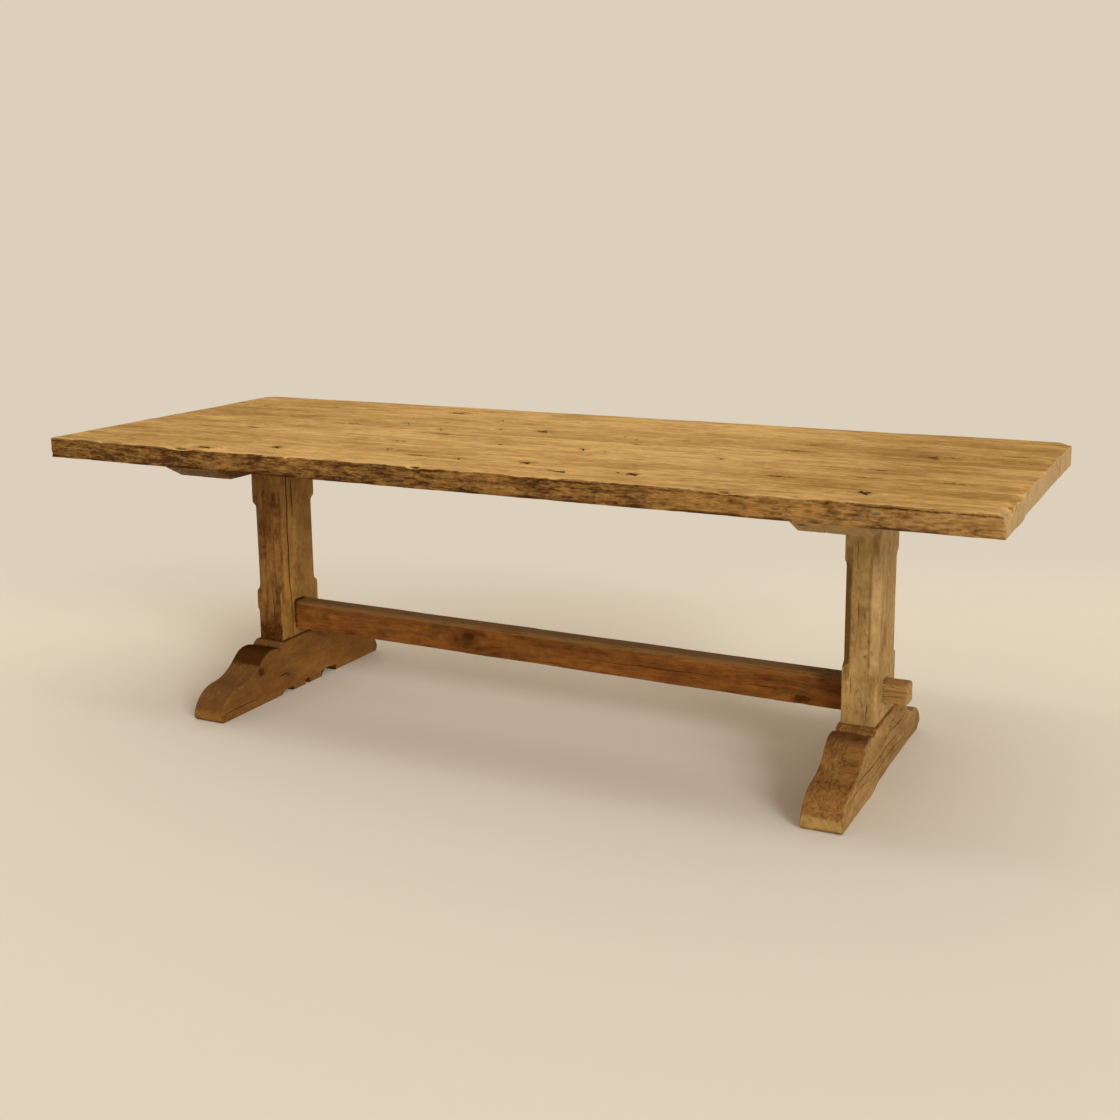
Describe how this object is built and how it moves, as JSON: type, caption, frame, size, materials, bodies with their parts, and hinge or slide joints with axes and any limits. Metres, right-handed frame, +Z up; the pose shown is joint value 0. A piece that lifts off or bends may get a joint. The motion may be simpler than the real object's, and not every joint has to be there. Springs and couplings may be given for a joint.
{
  "type": "trestle dining table",
  "caption": "Rustic solid-wood trestle dining table: plank top on two chamfered posts with ogee sledge feet, joined by a low stretcher whose tenons pass through the posts.",
  "frame": {"origin": "on the floor under the middle of the top", "axes": "+X along the length of the table to the right, -Y toward the front edge, +Z up"},
  "size_m": [2.47, 0.948, 0.765],
  "materials": {
    "top_oak": "waxed, weathered",
    "inner_oak": "raw",
    "bearer_oak": "waxed, weathered",
    "post_oak_left": "waxed, weathered",
    "post_oak_right": "waxed, weathered",
    "foot_oak_left": "waxed, weathered",
    "foot_oak_right": "waxed, weathered",
    "stretcher_oak": "waxed, weathered",
    "peg_oak": "waxed",
    "screw_steel": "dull"
  },
  "bodies": {
    "root": {"top_board_1": "top_oak", "top_board_2": "top_oak", "top_board_3": "top_oak", "top_board_4": "top_oak", "top_board_5": "top_oak", "top_tongue_1": "inner_oak", "top_tongue_2": "inner_oak", "top_tongue_3": "inner_oak", "top_tongue_4": "inner_oak", "bearer_left": "bearer_oak", "post_left": "post_oak_left", "foot_left": "foot_oak_left", "foot_pegs_left": "peg_oak", "stretcher_peg_left": "peg_oak", "bearer_wedges_left": "peg_oak", "bearer_screws_left": "screw_steel", "bearer_right": "bearer_oak", "post_right": "post_oak_right", "foot_right": "foot_oak_right", "foot_pegs_right": "peg_oak", "stretcher_peg_right": "peg_oak", "bearer_wedges_right": "peg_oak", "bearer_screws_right": "screw_steel", "stretcher": "stretcher_oak"}
  },
  "joints": []
}
